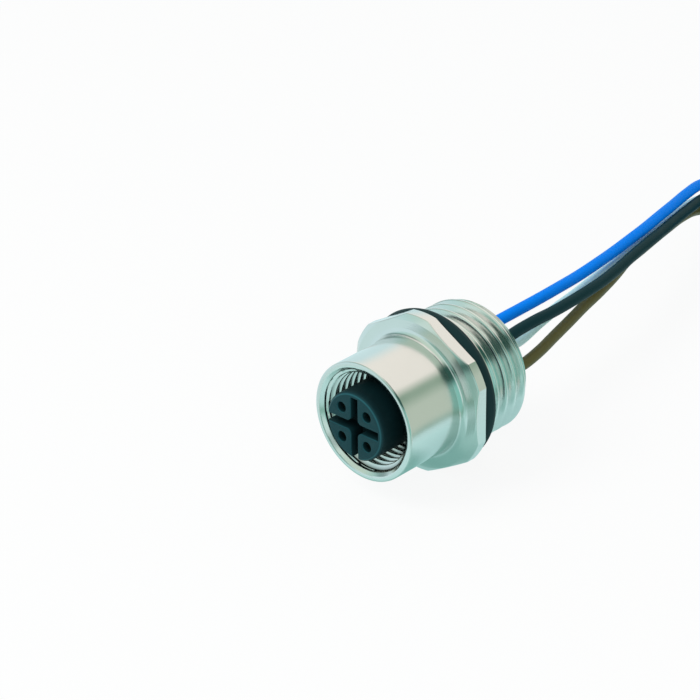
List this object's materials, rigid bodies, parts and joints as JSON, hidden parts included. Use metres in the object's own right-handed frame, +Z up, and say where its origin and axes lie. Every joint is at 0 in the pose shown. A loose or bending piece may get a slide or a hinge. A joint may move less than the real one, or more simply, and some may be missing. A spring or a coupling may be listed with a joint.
{
  "type": "circular connector",
  "caption": "Round panel-mount socket connector with a hexagonal flange, panel thread, seal ring, keyed socket insert and loose single wires.",
  "frame": {"origin": "on the plug axis, in the plane of the flange's rear face, which clamps against the panel", "axes": "+Y along the plug axis towards the wires, so the mating face looks to -Y; +Z up, with the key slot at the bottom; +X to the right seen from the mating face"},
  "size_m": [0.0228, 0.1017, 0.0192],
  "materials": {
    "nickel": "bright nickel plating on turned brass",
    "seal_rubber": "smooth moulded rubber",
    "insert_plastic": "fine matt moulded plastic",
    "potting_resin": "cast resin, slightly glossy",
    "contact_gold": "thin gold plating",
    "insulation_brown": "extruded insulation, satin",
    "insulation_white": "extruded insulation, satin",
    "insulation_blue": "extruded insulation, satin",
    "insulation_black": "extruded insulation, satin",
    "tinned_strand": "tinned and twisted strand",
    "tie_plastic": "moulded nylon"
  },
  "bodies": {
    "root": {"housing": "nickel", "panel_seal": "seal_rubber", "contact_insert": "insert_plastic", "potting": "potting_resin", "contact_brown": "contact_gold", "contact_white": "contact_gold", "contact_blue": "contact_gold", "contact_black": "contact_gold", "wire_brown": "insulation_brown", "wire_white": "insulation_white", "wire_blue": "insulation_blue", "wire_black": "insulation_black", "wire_end_brown": "tinned_strand", "wire_end_white": "tinned_strand", "wire_end_blue": "tinned_strand", "wire_end_black": "tinned_strand", "wire_coil": "insulation_blue", "coil_tie": "tie_plastic"}
  },
  "joints": []
}
